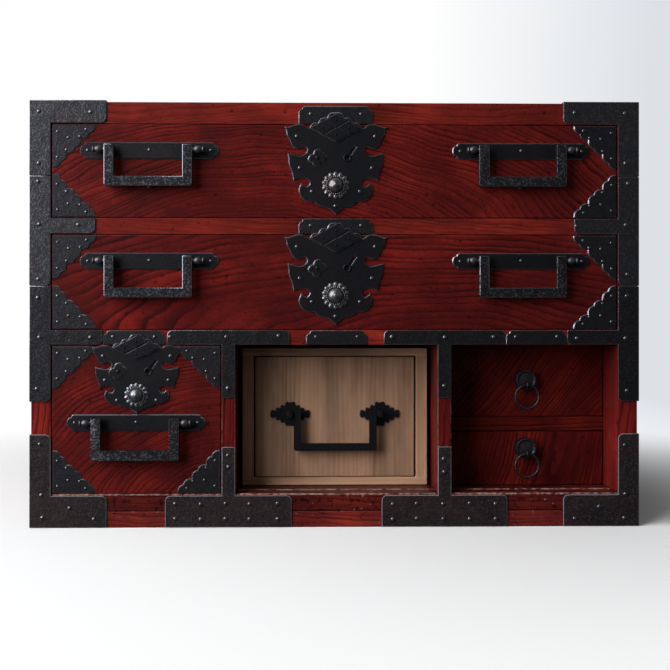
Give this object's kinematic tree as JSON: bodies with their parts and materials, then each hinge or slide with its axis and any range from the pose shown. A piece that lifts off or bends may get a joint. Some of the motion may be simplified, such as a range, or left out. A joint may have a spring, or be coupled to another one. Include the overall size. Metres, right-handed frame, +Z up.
{
  "type": "tansu sea chest",
  "caption": "Red-lacquered wooden tansu chest strapped in black iron, with locking drawers on bail handles, an inner paulownia box and small ring drawers.",
  "frame": {"origin": "centre of the base board's underside", "axes": "+Z up, -Y out of the front where the drawers open, +X to the right as seen from the front"},
  "size_m": [0.609, 0.4385, 0.4255],
  "materials": {
    "red_lacquer": "wiped red lacquer over flame-grained zelkova, satin, worn dark at the edges",
    "plain_wood": "plain planed cedar, matt",
    "paulownia": "bare pale paulownia, matt, fine straight grain",
    "black_iron": "hand-forged iron blackened with lacquer, satin, hammered"
  },
  "bodies": {
    "carcase": {"top_board": "red_lacquer", "left_side_board": "red_lacquer", "right_side_board": "red_lacquer", "upper_shelf": "red_lacquer", "lower_shelf": "red_lacquer", "floor_board": "red_lacquer", "base_board": "red_lacquer", "left_partition": "red_lacquer", "right_partition": "red_lacquer", "ring_drawer_shelf": "red_lacquer", "back_board": "plain_wood", "top_left_corner_iron": "black_iron", "top_right_corner_iron": "black_iron", "bottom_left_corner_iron": "black_iron", "bottom_right_corner_iron": "black_iron", "left_upper_iron": "black_iron", "left_lower_iron": "black_iron", "left_partition_head_iron": "black_iron", "left_partition_base_iron": "black_iron", "right_upper_iron": "black_iron", "right_lower_iron": "black_iron", "right_partition_head_iron": "black_iron", "right_partition_base_iron": "black_iron"},
    "top_drawer": {"top_drawer_front": "red_lacquer", "top_drawer_tray": "plain_wood", "top_lock_plate": "black_iron", "top_left_handle_plate": "black_iron", "top_right_handle_plate": "black_iron"},
    "top_left_bail": {"top_left_bail": "black_iron"},
    "top_right_bail": {"top_right_bail": "black_iron"},
    "top_lock_bolt": {"top_lock_bolt": "black_iron"},
    "second_drawer": {"second_drawer_front": "red_lacquer", "second_drawer_tray": "plain_wood", "second_lock_plate": "black_iron", "second_left_handle_plate": "black_iron", "second_right_handle_plate": "black_iron"},
    "second_left_bail": {"second_left_bail": "black_iron"},
    "second_right_bail": {"second_right_bail": "black_iron"},
    "second_lock_bolt": {"second_lock_bolt": "black_iron"},
    "small_drawer": {"small_drawer_front": "red_lacquer", "small_drawer_tray": "plain_wood", "small_lock_plate": "black_iron", "small_handle_plate": "black_iron"},
    "small_bail": {"small_bail": "black_iron"},
    "small_lock_bolt": {"small_lock_bolt": "black_iron"},
    "kiri_case": {"kiri_case": "paulownia"},
    "kiri_drawer": {"kiri_drawer_front": "paulownia", "kiri_drawer_tray": "plain_wood", "kiri_left_rose": "black_iron", "kiri_right_rose": "black_iron"},
    "kiri_bail": {"kiri_bail": "black_iron"},
    "upper_ring_drawer": {"upper_ring_drawer_front": "red_lacquer", "upper_ring_drawer_tray": "plain_wood", "upper_knob": "black_iron"},
    "upper_ring": {"upper_ring": "black_iron"},
    "lower_ring_drawer": {"lower_ring_drawer_front": "red_lacquer", "lower_ring_drawer_tray": "plain_wood", "lower_knob": "black_iron"},
    "lower_ring": {"lower_ring": "black_iron"}
  },
  "joints": [
    {"name": "top_drawer_slide", "type": "slide", "parent": "carcase", "child": "top_drawer", "axis": [0, -1, 0], "range_m": [0, 0.3]},
    {"name": "top_left_bail_hinge", "type": "hinge", "parent": "top_drawer", "child": "top_left_bail", "pos_m": [-0.1855, -0.2205, 0.3755], "axis": [-1, 0, 0], "range_deg": [0, 100]},
    {"name": "top_right_bail_hinge", "type": "hinge", "parent": "top_drawer", "child": "top_right_bail", "pos_m": [0.1855, -0.2205, 0.3755], "axis": [-1, 0, 0], "range_deg": [0, 100]},
    {"name": "top_lock_bolt_throw", "type": "slide", "parent": "top_drawer", "child": "top_lock_bolt", "axis": [0, 0, 1], "range_m": [0, 0.008]},
    {"name": "second_drawer_slide", "type": "slide", "parent": "carcase", "child": "second_drawer", "axis": [0, -1, 0], "range_m": [0, 0.3]},
    {"name": "second_left_bail_hinge", "type": "hinge", "parent": "second_drawer", "child": "second_left_bail", "pos_m": [-0.1855, -0.2205, 0.2655], "axis": [-1, 0, 0], "range_deg": [0, 100]},
    {"name": "second_right_bail_hinge", "type": "hinge", "parent": "second_drawer", "child": "second_right_bail", "pos_m": [0.1855, -0.2205, 0.2655], "axis": [-1, 0, 0], "range_deg": [0, 100]},
    {"name": "second_lock_bolt_throw", "type": "slide", "parent": "second_drawer", "child": "second_lock_bolt", "axis": [0, 0, 1], "range_m": [0, 0.008]},
    {"name": "small_drawer_slide", "type": "slide", "parent": "carcase", "child": "small_drawer", "axis": [0, -1, 0], "range_m": [0, 0.3]},
    {"name": "small_bail_hinge", "type": "hinge", "parent": "small_drawer", "child": "small_bail", "pos_m": [-0.1985, -0.2205, 0.10475], "axis": [-1, 0, 0], "range_deg": [0, 100]},
    {"name": "small_lock_bolt_throw", "type": "slide", "parent": "small_drawer", "child": "small_lock_bolt", "axis": [0, 0, 1], "range_m": [0, 0.008]},
    {"name": "kiri_case_slide", "type": "slide", "parent": "carcase", "child": "kiri_case", "axis": [0, -1, 0], "range_m": [0, 0.2]},
    {"name": "kiri_drawer_slide", "type": "slide", "parent": "kiri_case", "child": "kiri_drawer", "axis": [0, -1, 0], "range_m": [0, 0.22]},
    {"name": "kiri_bail_hinge", "type": "hinge", "parent": "kiri_drawer", "child": "kiri_bail", "pos_m": [0.001, -0.1705, 0.1086], "axis": [-1, 0, 0], "range_deg": [0, 100]},
    {"name": "upper_ring_drawer_slide", "type": "slide", "parent": "carcase", "child": "upper_ring_drawer", "axis": [0, -1, 0], "range_m": [0, 0.24]},
    {"name": "upper_ring_hinge", "type": "hinge", "parent": "upper_ring_drawer", "child": "upper_ring", "pos_m": [0.1995, -0.1795, 0.1394], "axis": [-1, 0, 0], "range_deg": [0, 95]},
    {"name": "lower_ring_drawer_slide", "type": "slide", "parent": "carcase", "child": "lower_ring_drawer", "axis": [0, -1, 0], "range_m": [0, 0.24]},
    {"name": "lower_ring_hinge", "type": "hinge", "parent": "lower_ring_drawer", "child": "lower_ring", "pos_m": [0.1995, -0.1795, 0.0684], "axis": [-1, 0, 0], "range_deg": [0, 95]}
  ]
}
